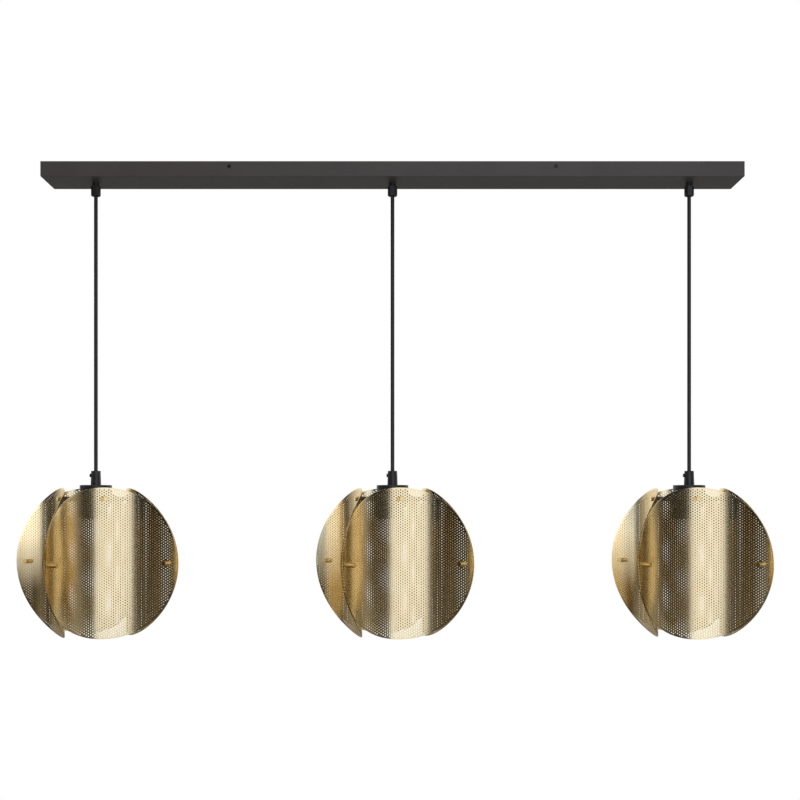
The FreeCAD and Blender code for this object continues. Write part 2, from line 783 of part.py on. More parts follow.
def lampholder(side):
    """The plastic lampholder: boss, dome, flange that the spider bears on, threaded skirt and cavity."""
    body = new_body("%s_lampholder" % side, Placement__Base__x="pendant_spacing * %d" % SIDES[side])
    flange_radius = "cap_radius - cap_wall - holder_seat_gap"
    bore = "spigot_radius + thread_clearance"
    cavity = "socket_radius + shell_wall + holder_seat_gap"
    revolve(
        body,
        [
            (bore, "holder_top"),
            ("holder_boss_radius", "holder_top"),
            ("holder_boss_radius", "holder_top - holder_boss_height"),
            ("holder_dome_radius", "holder_top - holder_boss_height * 2"),
            ("holder_dome_radius", "flange_bottom + holder_flange_height"),
            (flange_radius, "flange_bottom + holder_flange_height"),
            (flange_radius, "flange_bottom"),
            ("holder_radius", "flange_bottom"),
            ("holder_radius", "holder_bottom"),
            (cavity, "holder_bottom"),
            (cavity, "holder_bottom + holder_cavity_depth"),
            ("0", "holder_bottom + holder_cavity_depth"),
            ("0", "cap_top - spigot_length - holder_seat_gap"),
            (bore, "cap_top - spigot_length - holder_seat_gap"),
        ],
    )


def lamp_contacts(side):
    """The lampholder's screw shell and its centre contact with a spring tongue, two separate pieces."""
    shell = new_body("%s_screw_shell" % side, keep_it=False)
    outer = "socket_radius + shell_wall"
    low = "holder_bottom + shell_inset"
    high = "holder_bottom + shell_inset + shell_height"
    revolve(
        shell,
        [
            ("socket_radius", low),
            (outer, low),
            (outer, high),
            ("socket_radius - shell_lip", high),
            ("socket_radius - shell_lip", high + " - shell_wall"),
            ("socket_radius", high + " - shell_wall"),
        ],
    )
    contact = new_body("%s_centre_contact" % side, keep_it=False)
    roof = "holder_bottom + holder_cavity_depth"
    revolve(
        contact,
        [
            ("0", roof),
            ("contact_radius", roof),
            ("contact_radius", roof + " - contact_height"),
            ("0", roof + " - contact_height"),
        ],
    )
    tongue = new_sketch(contact, "XY_Plane", offset=roof + " - contact_height")
    low_corner = ("- tongue_length / 2", "- tongue_width / 2")
    draw_rectangle(tongue, low_corner, ("tongue_length / 2", "tongue_width / 2"))
    pad(contact, tongue, "tongue_thickness")
    place = moved(ALONG * (SIZES["pendant_spacing"] * SIDES[side]))
    group("%s_lamp_contacts" % side, [placed(shell.Shape, place), placed(contact.Shape, place)])


def shade_ring(side):
    """The ring that screws onto the lampholder's skirt and clamps the spider, with finger grips."""
    body = new_body("%s_shade_ring" % side, Placement__Base__x="pendant_spacing * %d" % SIDES[side])
    bore = "holder_radius + thread_clearance"
    revolve(
        body,
        [
            (bore, "ring_top"),
            ("ring_radius", "ring_top"),
            ("ring_radius", "ring_top - ring_flange_height"),
            ("ring_skirt_radius", "ring_top - ring_flange_height"),
            ("ring_skirt_radius", "ring_top - ring_height"),
            (bore, "ring_top - ring_height"),
        ],
    )
    grip = new_sketch(body, "XY_Plane", offset="ring_top")
    draw_circles(grip, [("ring_radius + ring_grip_radius / 2", "0")], "ring_grip_radius")
    cut = pocket(body, grip, "ring_flange_height * 2")
    pattern = body.newObject("PartDesign::PolarPattern", "PolarPattern")
    pattern.Originals = [cut]
    pattern.Axis = (role(body, "Z_Axis"), [""])
    pattern.Angle = 360.0
    bind(pattern, Occurrences="ring_grip_count")
    body.Tip = pattern
    document.recompute()


def shade_angle(side):
    """How far the shade is turned about its holder; the outer two are each turned a step apart."""
    return SIZES["shade_turn"] - SIDES[side] * SIZES["shade_turn_step"]


def spider(side):
    """The hub round the lampholder and its four arms, each tapped for the screw that holds a disc."""
    body = new_body("%s_spider" % side)
    x = SIZES["pendant_spacing"] * SIDES[side]
    revolve(
        body,
        [
            ("hub_bore_radius", "hub_top"),
            ("hub_radius", "hub_top"),
            ("hub_radius", "hub_bottom"),
            ("hub_bore_radius", "hub_bottom"),
        ],
    )
    bar = new_sketch(body, "XZ_Plane", offset="hub_radius - hub_wall / 2")
    draw_circles(bar, [("0", "arm_level")], "arm_radius")
    arm = pad(body, bar, "arm_end - hub_radius + hub_wall / 2")
    thread = new_sketch(body, "XZ_Plane", offset="arm_end")
    draw_circles(thread, [("0", "arm_level")], "stud_shank_radius + thread_clearance")
    tapping = pocket(body, thread, "arm_thread_depth")
    pattern = body.newObject("PartDesign::PolarPattern", "PolarPattern")
    pattern.Originals = [arm, tapping]
    pattern.Axis = (role(body, "Z_Axis"), [""])
    pattern.Angle = 360.0
    pattern.Occurrences = len(DISC_PLACES)
    body.Tip = pattern
    document.recompute()
    body.Placement = turned(UP, shade_angle(side), FreeCAD.Vector(x, 0, 0))
    bind(body, Placement__Base__x="pendant_spacing * %d" % SIDES[side])


def disc_shape():
    """A round blank bent to a cylinder about Z. On the cylinder's own angle and height a circle is an
    ellipse, so the outline is drawn there; the bend's axis is the origin and the disc's middle is on +X."""
    bend = SIZES["disc_bend_radius"]
    radius = SIZES["disc_radius"]
    half = SIZES["disc_thickness"] / 2
    surface = Part.Cylinder()
    surface.Radius = bend - half
    top = FreeCAD.Base.Vector2d(0, radius)
    side = FreeCAD.Base.Vector2d(-radius / bend, 0)
    outline = Part.Geom2d.Ellipse2d(top, side, FreeCAD.Base.Vector2d(0, 0))
    face = Part.Face(surface, Part.Wire([outline.toShape(surface)]))
    blank = face.makeOffsetShape(SIZES["disc_thickness"], 1e-3, fill=True)
    drill = Part.makeCylinder(SIZES["disc_hole_radius"], 4 * SIZES["disc_thickness"], ORIGIN, ALONG)
    drill.translate(ALONG * (bend - 2 * SIZES["disc_thickness"]))
    for degrees, height in ((HALF_QUARTER, 0), (-HALF_QUARTER, 0), (0, SIZES["globe_drop"])):
        blank = blank.cut(placed(drill, turned(UP, degrees, UP * height)))
    return blank


def quarter(side, index):
    """The placement of the shade's quarter that faces forwards before the shade is turned."""
    angle = shade_angle(side) + index * QUARTER_TURN
    return turned(UP, angle, FreeCAD.Vector(SIZES["pendant_spacing"] * SIDES[side], 0, 0))


def discs(side, blank):
    """The four discs of a shade, each a node of its own."""
    middle = FreeCAD.Vector(0, -number("disc_distance + disc_bend_radius"), SIZES["globe_level"])
    facing_axis = turned(UP, QUARTER_TURN, middle)
    for index, name in enumerate(DISC_PLACES):
        disc = document.addObject("Part::Feature", "disc")
        disc.Shape = blank
        disc.Placement = quarter(side, index).multiply(facing_axis)
        keep("%s_%s_disc" % (side, name), disc)


def top_rim(cylinder):
    """The edge round the upper end of a cylinder that stands on the XY plane."""
    return max(cylinder.Edges, key=lambda edge: edge.BoundBox.ZMin)


def stud_shape(shank_below):
    """A brass stud on its Z axis: head from zero up, shank down by shank_below."""
    head = Part.makeCylinder(SIZES["stud_radius"], SIZES["stud_length"])
    head = head.makeFillet(SIZES["stud_edge_radius"], [top_rim(head)])
    shank = Part.makeCylinder(SIZES["stud_shank_radius"], shank_below, ORIGIN, -UP)
    return head.fuse(shank).removeSplitter()


def arm_screws(side):
    """The four brass screws that hold the discs' tops to the spider's arms."""
    seat = number("disc_distance + disc_thickness / 2 + stud_seat_gap")
    shank = seat - SIZES["arm_end"] + SIZES["arm_thread_depth"] - SIZES["stud_end_gap"]
    screw = stud_shape(shank)
    facing_front = turned(ALONG, QUARTER_TURN, FreeCAD.Vector(0, -seat, SIZES["arm_level"]))
    group(
        "%s_arm_screws" % side,
        [placed(screw, quarter(side, index).multiply(facing_front)) for index in range(len(DISC_PLACES))],
    )


def corner_fasteners(side):
    """At each corner of the globe a stud, a spacer between the two sheets and a cap nut."""
    size = SIZES
    reach = number("disc_gap / 2 + disc_thickness + stud_seat_gap")
    stud = stud_shape(2 * reach + size["stud_nut_depth"] - size["stud_end_gap"])
    nut = Part.makeCylinder(size["stud_radius"], size["stud_length"])
    nut = nut.makeFillet(size["stud_edge_radius"], [top_rim(nut)])
    thread_radius = number("stud_shank_radius + thread_clearance")
    nut = nut.cut(Part.makeCylinder(thread_radius, size["stud_nut_depth"]))
    spacer_height = number("disc_gap - spacer_slack")
    spacer = Part.makeCylinder(size["stud_radius"], spacer_height, UP * (-spacer_height / 2))
    spacer = spacer.cut(Part.makeCylinder(size["disc_hole_radius"], spacer_height, UP * (-spacer_height / 2)))
    shapes = []
    for index in range(len(DISC_PLACES)):
        corner = quarter(side, index).multiply(turned(UP, HALF_QUARTER))
        middle = corner.multiply(
            turned(BACKWARDS, QUARTER_TURN, FreeCAD.Vector(0, -size["corner_distance"], size["globe_level"]))
        )
        shapes.append(placed(stud, middle.multiply(moved(UP * reach))))
        shapes.append(placed(spacer, middle))
        shapes.append(placed(nut, middle.multiply(turned(ALONG, 180, UP * -reach))))
    group("%s_corner_fasteners" % side, shapes)


def build():
    """Makes every sub-part, canopy first, then the three pendants."""
    canopy_shell()
    ceiling_bracket("left")
    ceiling_bracket("right")
    canopy_screws()
    terminal_block()
    terminal_screws()
    earth_terminal()
    gland_nuts()
    blank = disc_shape()
    for side in SIDES:
        gland(side)
        leads(side)
        hanging_cord(side)
        cord_grip(side)
        grip_screw(side)
        holder_cap(side)
        lampholder(side)
        lamp_contacts(side)
        shade_ring(side)
        spider(side)
        discs(side, blank)
        arm_screws(side)
        corner_fasteners(side)


def check():
    """Stops where an object failed or a sub-part has no valid solid."""
    document.recompute()
    for item in document.Objects:
        if "Invalid" in item.State or "Error" in item.State:
            raise RuntimeError("%s failed: %s" % (item.Label, item.State))
    for label, piece in nodes.items():
        if piece.Shape.isNull() or not piece.Shape.isValid() or not piece.Shape.Solids:
            raise RuntimeError("%s has no valid solid" % label)
        if min(solid.Volume for solid in piece.Shape.Solids) <= 0:
            raise RuntimeError("%s has a solid turned inside out" % label)


def write():
    """Writes each sub-part to its own STEP file."""
    os.makedirs("parts", exist_ok=True)
    for label, piece in nodes.items():
        piece.Shape.exportStep("parts/%s.step" % label)
    for side in SIDES:
        cord = nodes["%s_cord" % side].Shape
        section = math.pi * SIZES["cord_radius"] ** 2
        ends = 4 / 3 * math.pi * SIZES["cord_radius"] ** 3
        share = cord.Volume / (section * SIZES["cord_length"] + ends)
        print("%s cord: straight run %.1f mm, volume %.4f of expected" % (side, SIZES["cord_length"], share))
    print("%d nodes, disc distance %.2f mm" % (len(nodes), SIZES["disc_distance"]))


build()
check()
write()
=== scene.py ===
"""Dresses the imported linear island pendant: brass shades, cords, wiring, finishes, light and camera.

Lengths are metres in the frame of the construction: the origin is the middle of the canopy's open top on
the ceiling, +X runs along the canopy, +Y points to the back and +Z points up.
"""

import logging
import math
from dataclasses import dataclass, replace
from enum import Enum

import bmesh
import bpy
import numpy as np
from mathutils import Matrix, Vector


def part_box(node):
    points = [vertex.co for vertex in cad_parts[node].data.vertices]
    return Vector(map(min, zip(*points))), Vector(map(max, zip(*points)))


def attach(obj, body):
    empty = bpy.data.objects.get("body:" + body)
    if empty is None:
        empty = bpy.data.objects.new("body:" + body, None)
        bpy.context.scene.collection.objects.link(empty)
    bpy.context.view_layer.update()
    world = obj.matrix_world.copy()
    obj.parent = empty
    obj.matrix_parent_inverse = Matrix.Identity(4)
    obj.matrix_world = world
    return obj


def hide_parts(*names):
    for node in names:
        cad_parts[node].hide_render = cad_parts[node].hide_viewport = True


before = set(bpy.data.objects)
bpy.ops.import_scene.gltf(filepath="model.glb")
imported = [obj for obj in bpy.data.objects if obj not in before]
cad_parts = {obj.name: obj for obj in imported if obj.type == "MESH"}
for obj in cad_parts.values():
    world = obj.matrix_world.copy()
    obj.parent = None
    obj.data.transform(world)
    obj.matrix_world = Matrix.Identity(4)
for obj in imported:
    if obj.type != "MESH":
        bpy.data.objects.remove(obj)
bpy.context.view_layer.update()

Colour = tuple[float, float, float]
Point = tuple[float, float, float]
Span = tuple[float, float]
Socket = bpy.types.NodeSocket
Sockets = bpy.types.NodeOutputs

LOG = logging.getLogger("pendant")
MM = 0.001
# Degrees
QUARTER_TURN = 90.0
HALF_QUARTER = 45.0
WHITE = (1.0, 1.0, 1.0, 1.0)
# The refractive index of paint and plastic
COATING_IOR = 1.5
# Where most values of a noise pattern lie
NOISE_RANGE = (0.3, 0.7)
# The distance between columns of staggered holes, as a share of their pitch
COLUMN_SHARE = math.sqrt(3) / 2
HEXAGON_CORNERS = 6
# An edge with fewer faces than this is on the outline
OUTLINE_FACES = 1.5
# A face belongs to the rolled sheet when its normal agrees with the bend's radius by more than this
SHEET_AGREEMENT = 0.5


class Named(Enum):
    """An enumeration whose members go by the construction's own words."""

    @property
    def word(self) -> str:
        """The word that the construction uses in its names."""
        return self.name.lower()


class Side(Named):
    """Which of the three pendants a piece belongs to, with its place along the canopy."""

    LEFT = -1
    CENTRE = 0
    RIGHT = 1


class Quarter(Named):
    """The four discs of a shade, counted in quarter turns from the front."""

    FRONT = 0
    RIGHT = 1
    BACK = 2
    LEFT = 3


# ------------------------------------------------------------------------------------------ node helpers


class Tree:
    """Short ways to add nodes to a shader or geometry tree and to join them."""

    def __init__(self, tree: bpy.types.NodeTree) -> None:
        """Starts from an existing tree and empties it."""
        self.tree = tree
        tree.nodes.clear()

    def add(self, kind: str, *sources: Socket | None, **values: object) -> bpy.types.Node:
        """Adds a node.

        Args:
            kind: Blender's name of the node's type.
            sources: Sockets for the node's first enabled inputs, in order; None leaves one as it is.
            values: Node properties, or inputs where the name is a socket's name with _ for a space.

        Returns:
            The new node.
        """
        node = self.tree.nodes.new(kind)
        inputs = {}
        for name, value in values.items():
            if hasattr(node, name):
                setattr(node, name, value)
            else:
                inputs[name.replace("_", " ").lower()] = value
        enabled = [socket for socket in node.inputs if socket.enabled]
        for socket in enabled:
            if socket.name.lower() in inputs:
                self.set_input(socket, inputs[socket.name.lower()])
        for socket, source in zip(enabled, sources):
            if source is not None:
                self.tree.links.new(source, socket)
        return node

    def set_input(self, socket: Socket, value: object) -> None:
        """Joins a socket to another, or gives it a constant."""
        if isinstance(value, Socket):
            self.tree.links.new(value, socket)
        else:
            socket.default_value = value

    def maths(self, operation: str, first: Socket | float, second: Socket | float = 0.0) -> Socket:
        """Adds a scalar operation on sockets or numbers.

        Returns:
            The socket that holds the result.
        """
        node = self.tree.nodes.new("ShaderNodeMath")
        node.operation = operation
        for socket, value in zip(node.inputs, (first, second)):
            self.set_input(socket, value)
        return node.outputs[0]

    def ramp(self, value: Socket, between: Span, onto: Span) -> Socket:
        """Maps a value's range onto another; what lies outside it takes the nearer end."""
        node = self.add("ShaderNodeMapRange", value)
        for name, number in zip(("From Min", "From Max", "To Min", "To Max"), (*between, *onto)):
            node.inputs[name].default_value = number
        return node.outputs[0]

    def steps(self, value: Socket, stops: list[Span]) -> Socket:
        """Reads a level off a line through the stops, which are pairs of place and level."""
        node = self.add("ShaderNodeValToRGB", value)
        elements = node.color_ramp.elements
        for index, (place, level) in enumerate(stops):
            element = elements[index] if index < len(elements) else elements.new(place)
            element.position = place
            element.color = (level, level, level, 1.0)
        return node.outputs[0]

    def joined(self, parts: list[Socket]) -> Socket:
        """Puts several geometries into one."""
        node = self.tree.nodes.new("GeometryNodeJoinGeometry")
        for part in parts:
            self.tree.links.new(part, node.inputs[0])
        return node.outputs[0]

    def ray_kinds(self) -> tuple[Socket, Socket, Socket]:
        """Whether a ray comes straight from the camera, off a glossy surface or off a matt one."""
        rays = self.add("ShaderNodeLightPath").outputs
        seen = self.maths("MAXIMUM", rays["Is Camera Ray"], rays["Is Transmission Ray"])
        return seen, rays["Is Glossy Ray"], rays["Is Diffuse Ray"]


class Material(Tree):
    """A surface material under construction, with object coordinates and a principled shader."""

    def __init__(self, name: str) -> None:
        """Makes the material with its shader already joined to the output."""
        self.material = bpy.data.materials.new(name)
        self.material.use_nodes = True
        super().__init__(self.material.node_tree)
        self.shader = self.add("ShaderNodeBsdfPrincipled")
        output = self.add("ShaderNodeOutputMaterial")
        self.tree.links.new(self.shader.outputs[0], output.inputs["Surface"])
        self.place = self.add("ShaderNodeTexCoord").outputs["Object"]

    def stretched(self, scale: Point) -> Socket:
        """Object coordinates with another scale along each axis."""
        return self.add("ShaderNodeMapping", self.place, Scale=scale).outputs[0]

    def noise(self, scale: float, detail: float = 3.0, vector: Socket | None = None) -> Socket:
        """Adds a noise pattern.

        Args:
            scale: Blotches per metre of the coordinates.
            detail: Octaves of finer noise.
            vector: Coordinates, or None for plain object coordinates.

        Returns:
            The pattern's value, about 0.5 on average.
        """
        node = self.add("ShaderNodeTexNoise", vector or self.place, Scale=scale, Detail=detail)
        return node.outputs[0]

    def spread(self, value: Socket, onto: Span = (0.0, 1.0), between: Span = NOISE_RANGE) -> Socket:
        """Maps a pattern's usual range onto another."""
        return self.ramp(value, between, onto)

    def blend(self, share: Socket, first: Colour, second: Colour) -> Socket:
        """Mixes two colours by the second one's share."""
        node = self.add("ShaderNodeMix", data_type="RGBA")
        self.tree.links.new(share, node.inputs["Factor"])
        sockets = [socket for socket in node.inputs if socket.type == "RGBA"]
        for socket, colour in zip(sockets, (first, second)):
            socket.default_value = (*colour, 1.0)
        return next(socket for socket in node.outputs if socket.type == "RGBA")

    def relief(self, height: Socket, depth: float) -> None:
        """Raises the surface by a pattern, depth metres high."""
        node = self.add("ShaderNodeBump", Strength=1.0, Distance=depth, Height=height)
        self.tree.links.new(node.outputs[0], self.shader.inputs["Normal"])

    def finish(self, **values: object) -> bpy.types.Material:
        """Sets the shader's sockets, named with _ for a space, and returns the material."""
        for name, value in values.items():
            socket = next(s for s in self.shader.inputs if s.name.lower() == name.replace("_", " "))
            self.set_input(socket, value)
        return self.material


# ---------------------------------------------------------------------------------------------- finishes


def scaled(colour: Colour, factor: float) -> Colour:
    """A colour made lighter or darker by a factor."""
    return tuple(factor * part for part in colour)


@dataclass(frozen=True)
class PowderCoat:
    """Matt powder coat: a dark coat with a fine orange peel and faint cloudiness."""

    name: str = "canopy_powder_coat"
    colour: Colour = (0.080, 0.067, 0.054)
    lightening: float = 1.16
    roughness: Span = (0.47, 0.59)
    cloud_scale: float = 14.0
    peel_scale: float = 900.0
    peel_depth: float = 0.05 * MM

    def make(self) -> bpy.types.Material:
        """Builds the material."""
        paint = Material(self.name)
        clouds = paint.noise(self.cloud_scale)
        peel = paint.noise(self.peel_scale, detail=2.0)
        lighter = scaled(self.colour, self.lightening)
        paint.relief(peel, self.peel_depth)
        return paint.finish(
            base_color=paint.blend(paint.spread(clouds), self.colour, lighter),
            roughness=paint.spread(peel, self.roughness),
            ior=COATING_IOR,
        )


@dataclass(frozen=True)
class ZincPlate:
    """Bright zinc on pressed steel, with faint cloudy crystals and dull patches."""

    name: str = "zinc_plate"
    colour: Colour = (0.62, 0.63, 0.62)
    crystal: Colour = (0.50, 0.51, 0.50)
    crystal_scale: float = 160.0
    crystal_range: Span = (0.1, 0.6)
    roughness: Span = (0.28, 0.44)
    patch_scale: float = 60.0
    skin_scale: float = 1400.0
    skin_depth: float = 0.02 * MM

    def make(self) -> bpy.types.Material:
        """Builds the material."""
        zinc = Material(self.name)
        crystals = zinc.add("ShaderNodeTexVoronoi", zinc.place, Scale=self.crystal_scale).outputs["Distance"]
        share = zinc.spread(crystals, between=self.crystal_range)
        patches = zinc.noise(self.patch_scale)
        zinc.relief(zinc.noise(self.skin_scale, detail=1.0), self.skin_depth)
        return zinc.finish(
            base_color=zinc.blend(share, self.colour, self.crystal),
            metallic=1.0,
            roughness=zinc.spread(patches, self.roughness),
        )


@dataclass(frozen=True)
class BlackPlastic:
    """Moulded black nylon: spark-eroded grain and a soft sheen, smoother and lighter where it is rubbed."""

    name: str = "black_plastic"
    colour: Colour = (0.026, 0.022, 0.018)
    roughness: Span = (0.42, 0.33)
    rub_scale: float = 90.0
    rub_range: Span = (0.45, 0.75)
    rub_share: float = 0.8
    rub_lightening: float = 1.7
    grain_scale: float = 1700.0
    grain_depth: float = 0.06 * MM

    def make(self) -> bpy.types.Material:
        """Builds the material."""
        plastic = Material(self.name)
        grains = plastic.noise(self.grain_scale, detail=2.0)
        rubbed = plastic.noise(self.rub_scale, detail=4.0)
        share = plastic.spread(rubbed, (0.0, self.rub_share), self.rub_range)
        plastic.relief(grains, self.grain_depth)
        return plastic.finish(
            base_color=plastic.blend(share, self.colour, scaled(self.colour, self.rub_lightening)),
            roughness=plastic.spread(rubbed, self.roughness),
            ior=COATING_IOR,
        )


@dataclass(frozen=True)
class BlackMetal:
    """Satin black lacquer on metal, rubbed a little brighter here and there."""

    name: str = "black_metal"
    colour: Colour = (0.028, 0.023, 0.019)
    roughness: Span = (0.32, 0.42)
    metallic: float = 0.0
    rub_scale: float = 120.0
    rub_range: Span = (0.5, 0.8)
    rub_share: float = 0.7
    rub_lightening: float = 1.9
    flow_scale: float = 500.0
    flow_depth: float = 0.02 * MM

    def make(self) -> bpy.types.Material:
        """Builds the material."""
        lacquer = Material(self.name)
        flow = lacquer.noise(self.flow_scale)
        rubbed = lacquer.noise(self.rub_scale, detail=5.0)
        share = lacquer.spread(rubbed, (0.0, self.rub_share), self.rub_range)
        lacquer.relief(flow, self.flow_depth)
        return lacquer.finish(
            base_color=lacquer.blend(share, self.colour, scaled(self.colour, self.rub_lightening)),
            roughness=lacquer.spread(flow, self.roughness),
            metallic=self.metallic,
            ior=COATING_IOR,
        )


@dataclass(frozen=True)
class Brass:
    """Brass sheet or turned brass: fine rolling lines, faint tarnish and a satin gloss."""

    name: str
    colour: Colour = (0.92, 0.73, 0.39)
    tarnish: Colour = (0.84, 0.62, 0.30)
    tarnish_scale: float = 22.0
    tarnish_range: Span = (0.4, 0.8)
    tarnish_share: float = 0.45
    roughness: Span = (0.15, 0.23)
    line_scale: float = 2600.0
    line_stretch: Point = (1.0, 1.0, 0.06)
    line_depth: float = 0.006 * MM

    def make(self) -> bpy.types.Material:
        """Builds the material."""
        brass = Material(self.name)
        lines = brass.noise(self.line_scale, 2.0, brass.stretched(self.line_stretch))
        clouds = brass.noise(self.tarnish_scale, detail=4.0)
        share = brass.spread(clouds, (0.0, self.tarnish_share), self.tarnish_range)
        brass.relief(lines, self.line_depth)
        return brass.finish(
            base_color=brass.blend(share, self.colour, self.tarnish),
            metallic=1.0,
            roughness=brass.spread(lines, self.roughness),
        )


@dataclass(frozen=True)
class CordSheath:
    """Extruded black cable sheath: a soft gloss with faint ripples along its length."""

    name: str = "cord_sheath"
    colour: Colour = (0.020, 0.017, 0.014)
    lightening: float = 1.5
    roughness: Span = (0.36, 0.48)
    skin_scale: float = 2400.0
    ripple_scale: float = 200.0
    ripple_stretch: Point = (1.0, 1.0, 0.08)
    ripple_depth: float = 0.008 * MM

    def make(self) -> bpy.types.Material:
        """Builds the material."""
        sheath = Material(self.name)
        ripples = sheath.noise(self.ripple_scale, 1.0, sheath.stretched(self.ripple_stretch))
        skin = sheath.noise(self.skin_scale, detail=1.0)
        lighter = scaled(self.colour, self.lightening)
        sheath.relief(ripples, self.ripple_depth)
        return sheath.finish(
            base_color=sheath.blend(sheath.spread(skin), self.colour, lighter),
            roughness=sheath.spread(skin, self.roughness),
            ior=COATING_IOR,
        )


@dataclass(frozen=True)
class Insulation:
    """Soft coloured insulation of one core, striped where the stripe differs from the colour."""

    name: str
    colour: Colour
    stripe: Colour
    stripe_scale: float = 45.0
    stripe_range: Span = (0.45, 0.55)
    roughness: Span = (0.38, 0.48)
    grain_scale: float = 1800.0
    grain_depth: float = 0.02 * MM

    def make(self) -> bpy.types.Material:
        """Builds the material."""
        skin = Material(self.name)
        wave = skin.add(
            "ShaderNodeTexWave",
            skin.place,
            wave_type="BANDS",
            bands_direction="DIAGONAL",
            Scale=self.stripe_scale,
        )
        stripes = skin.spread(wave.outputs[1], between=self.stripe_range)
        grain = skin.noise(self.grain_scale, detail=2.0)
        skin.relief(grain, self.grain_depth)
        return skin.finish(
            base_color=skin.blend(stripes, self.colour, self.stripe),
            roughness=skin.spread(grain, self.roughness),
            ior=COATING_IOR,
        )


@dataclass(frozen=True)
class TerminalPlastic:
    """Milky moulded plastic of the terminal block, a little translucent."""

    name: str = "terminal_plastic"
    colour: Colour = (0.72, 0.72, 0.68)
    darkening: float = 0.86
    roughness: Span = (0.34, 0.46)
    cloud_scale: float = 120.0
    grain_scale: float = 1500.0
    grain_depth: float = 0.03 * MM
    translucency: float = 0.15
    light_reach: Point = (4.0 * MM, 4.0 * MM, 3.0 * MM)

    def make(self) -> bpy.types.Material:
        """Builds the material."""
        plastic = Material(self.name)
        clouds = plastic.noise(self.cloud_scale)
        darker = scaled(self.colour, self.darkening)
        plastic.relief(plastic.noise(self.grain_scale, detail=2.0), self.grain_depth)
        return plastic.finish(
            base_color=plastic.blend(plastic.spread(clouds), self.colour, darker),
            roughness=plastic.spread(clouds, self.roughness),
            subsurface_weight=self.translucency,
            subsurface_radius=self.light_reach,
            subsurface_scale=1.0,
            ior=COATING_IOR,
        )


class Finishes:
    """All materials of the pendant, each made once."""

    def __init__(self) -> None:
        """Makes the materials."""
        self.canopy = PowderCoat().make()
        self.zinc = ZincPlate().make()
        self.black_screw = BlackMetal(
            "black_screw", colour=(0.030, 0.028, 0.026), roughness=(0.30, 0.40), metallic=0.6
        ).make()
        self.plastic = BlackPlastic().make()
        self.black_metal = BlackMetal().make()
        self.sheath = CordSheath().make()
        self.terminal = TerminalPlastic().make()
        self.shade_brass = Brass("shade_brass").make()
        self.fitting_brass = Brass(
            "fitting_brass", colour=(0.83, 0.60, 0.25), tarnish=(0.60, 0.40, 0.15)
        ).make()
        self.contact_brass = Brass(
            "contact_brass", colour=(0.78, 0.60, 0.30), tarnish=(0.55, 0.38, 0.16), roughness=(0.27, 0.35)
        ).make()
        self.live = Insulation("core_brown", (0.110, 0.040, 0.018), (0.120, 0.045, 0.020)).make()
        self.neutral = Insulation("core_blue", (0.030, 0.110, 0.400), (0.032, 0.115, 0.420)).make()
        self.earth = Insulation("core_green_yellow", (0.060, 0.300, 0.050), (0.750, 0.620, 0.040)).make()


# ------------------------------------------------------------------------------------------ mesh helpers


def new_piece(name: str, mesh: bpy.types.Mesh) -> bpy.types.Object:
    """Puts a finished mesh into the scene as an object at the origin."""
    mesh.name = name
    piece = bpy.data.objects.new(name, mesh)
    bpy.context.scene.collection.objects.link(piece)
    return piece


def evaluated_mesh(carrier: bpy.types.Object) -> bpy.types.Mesh:
    """The mesh that an object's modifiers make, as plain data; the carrier is removed."""
    bpy.context.view_layer.update()
    graph = bpy.context.evaluated_depsgraph_get()
    mesh = bpy.data.meshes.new_from_object(carrier.evaluated_get(graph))
    carrier.modifiers.clear()
    bpy.data.objects.remove(carrier)
    return mesh


def run_tree(tree: bpy.types.NodeTree, values: dict[str, float]) -> bpy.types.Mesh:
    """Runs a geometry tree on an empty mesh.

    Args:
        tree: A geometry node tree with named inputs.
        values: The inputs' values, by socket name.

    Returns:
        The resulting mesh as plain data.
    """
    carrier = new_piece("carrier", bpy.data.meshes.new("carrier"))
    modifier = carrier.modifiers.new("nodes", "NODES")
    modifier.node_group = tree
    for item in tree.interface.items_tree:
        if item.in_out == "INPUT":
            modifier[item.identifier] = values[item.name]
    carrier.update_tag()
    return evaluated_mesh(carrier)


def read(items: bpy.types.bpy_prop_collection, name: str, kind: type, width: int = 1) -> np.ndarray:
    """Reads a property of all vertices, corners or faces of a mesh.

    Args:
        items: The mesh's elements.
        name: The property's name.
        kind: The numbers' type.
        width: How many numbers each element has.

    Returns:
        One row of numbers for each element, or plain numbers where the width is 1.
    """
    values = np.empty(len(items) * width, kind)
    items.foreach_get(name, values)
    return values if width == 1 else values.reshape(-1, width)


def islands(shape: bmesh.types.BMesh) -> list[list[bmesh.types.BMFace]]:
    """The faces of each separate solid in a welded mesh."""
    found = []
    waiting = set(shape.faces)
    while waiting:
        edge = [waiting.pop()]
        solid = []
        while edge:
            face = edge.pop()
            solid.append(face)
            near = {other for side in face.edges for other in side.link_faces} & waiting
            waiting -= near
            edge.extend(near)
        found.append(solid)
    return found


def dress(node: str, material: bpy.types.Material) -> None:
    """Gives a carried-over node of the construction its material."""
    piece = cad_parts[node]
    piece.data.materials.clear()
    piece.data.materials.append(material)


# ------------------------------------------------------------------------------------------- shade discs


